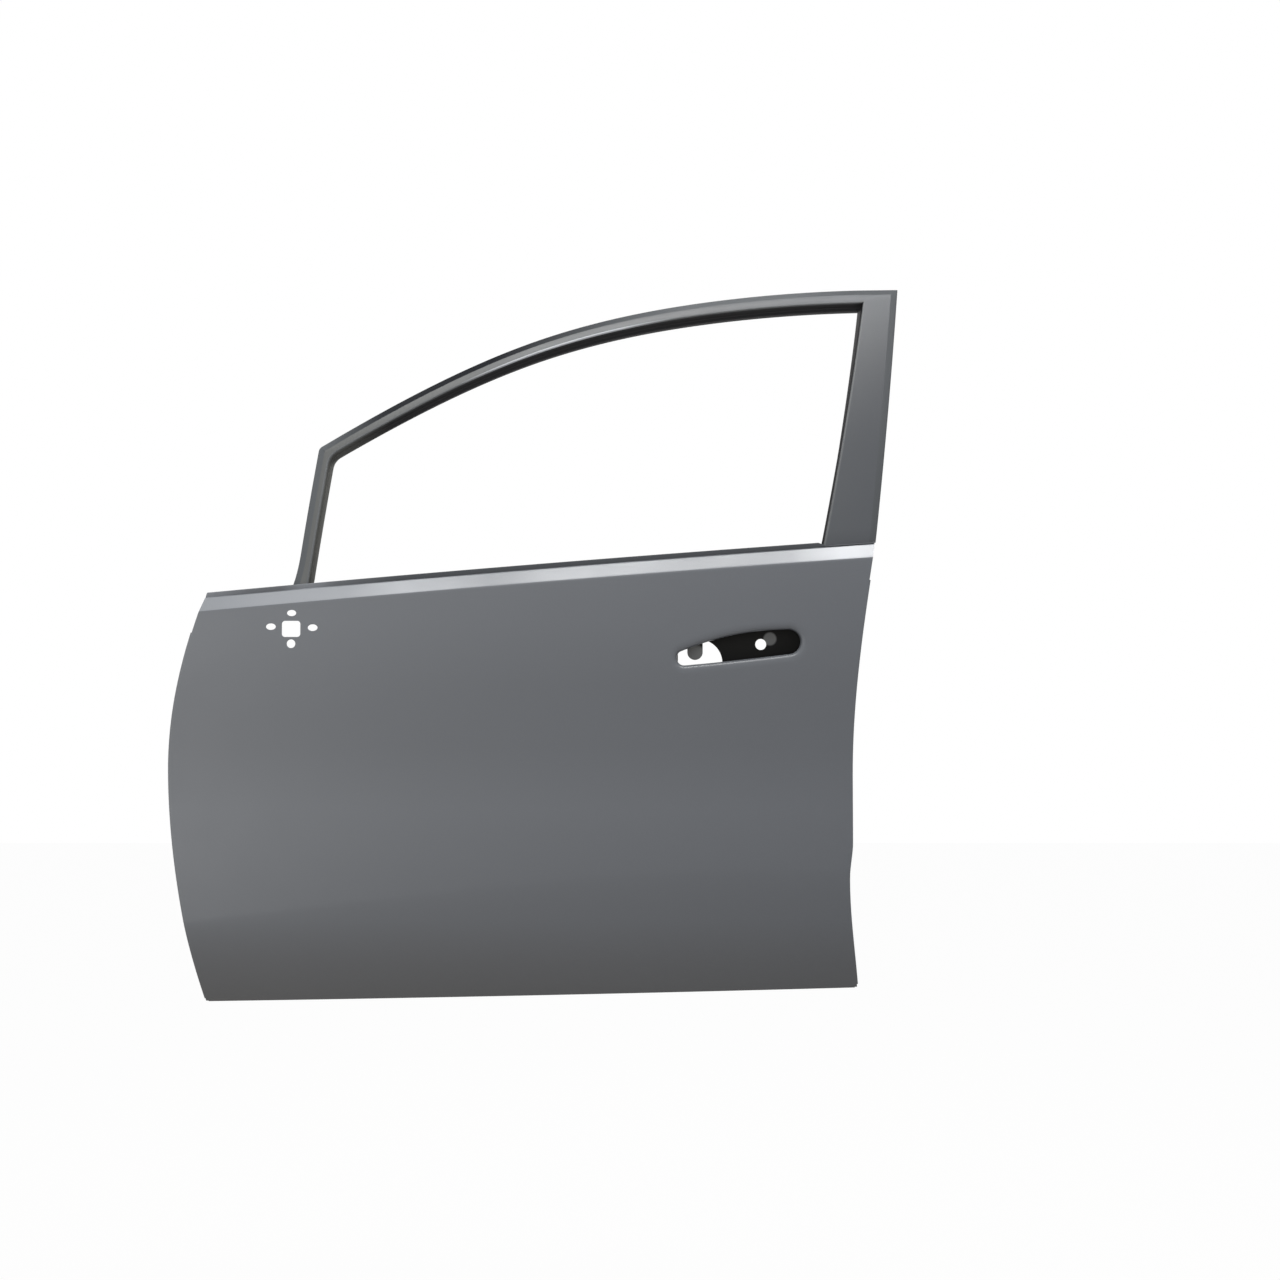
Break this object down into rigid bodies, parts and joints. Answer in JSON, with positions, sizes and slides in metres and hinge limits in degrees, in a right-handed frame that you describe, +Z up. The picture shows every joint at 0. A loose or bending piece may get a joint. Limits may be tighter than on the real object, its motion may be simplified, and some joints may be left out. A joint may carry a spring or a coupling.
{
  "type": "car door shell",
  "caption": "Bare pressed steel shell of a front left car door with its window frame, mirror and handle openings, stiffened inside.",
  "frame": {"origin": "middle of the upper hinge face, on the front wall of the inner panel", "axes": "+X rearwards along the door, +Y into the car, +Z up"},
  "size_m": [1.2003, 0.2078, 1.1802],
  "materials": {
    "primer": "satin grey primer",
    "dip_coat": "satin dark dip coat",
    "mastic": "matt"
  },
  "bodies": {
    "root": {"outer_panel": "primer", "frame_outer": "primer", "frame_inner": "primer", "inner_panel": "dip_coat", "outer_belt_reinforcement": "dip_coat", "inner_belt_reinforcement": "dip_coat", "outer_panel_stiffener": "dip_coat", "impact_beam": "dip_coat", "beam_bracket_front": "dip_coat", "beam_bracket_rear": "dip_coat", "upper_hinge_reinforcement": "dip_coat", "lower_hinge_reinforcement": "dip_coat", "upper_hinge_nut_1": "dip_coat", "upper_hinge_nut_2": "dip_coat", "lower_hinge_nut_1": "dip_coat", "lower_hinge_nut_2": "dip_coat", "check_strap_reinforcement": "dip_coat", "latch_reinforcement": "dip_coat", "mirror_reinforcement": "dip_coat", "handle_reinforcement": "dip_coat", "front_sash_bracket": "dip_coat", "rear_sash_bracket": "dip_coat", "mastic_pad_1": "mastic", "mastic_pad_2": "mastic", "mastic_pad_3": "mastic"}
  },
  "joints": []
}
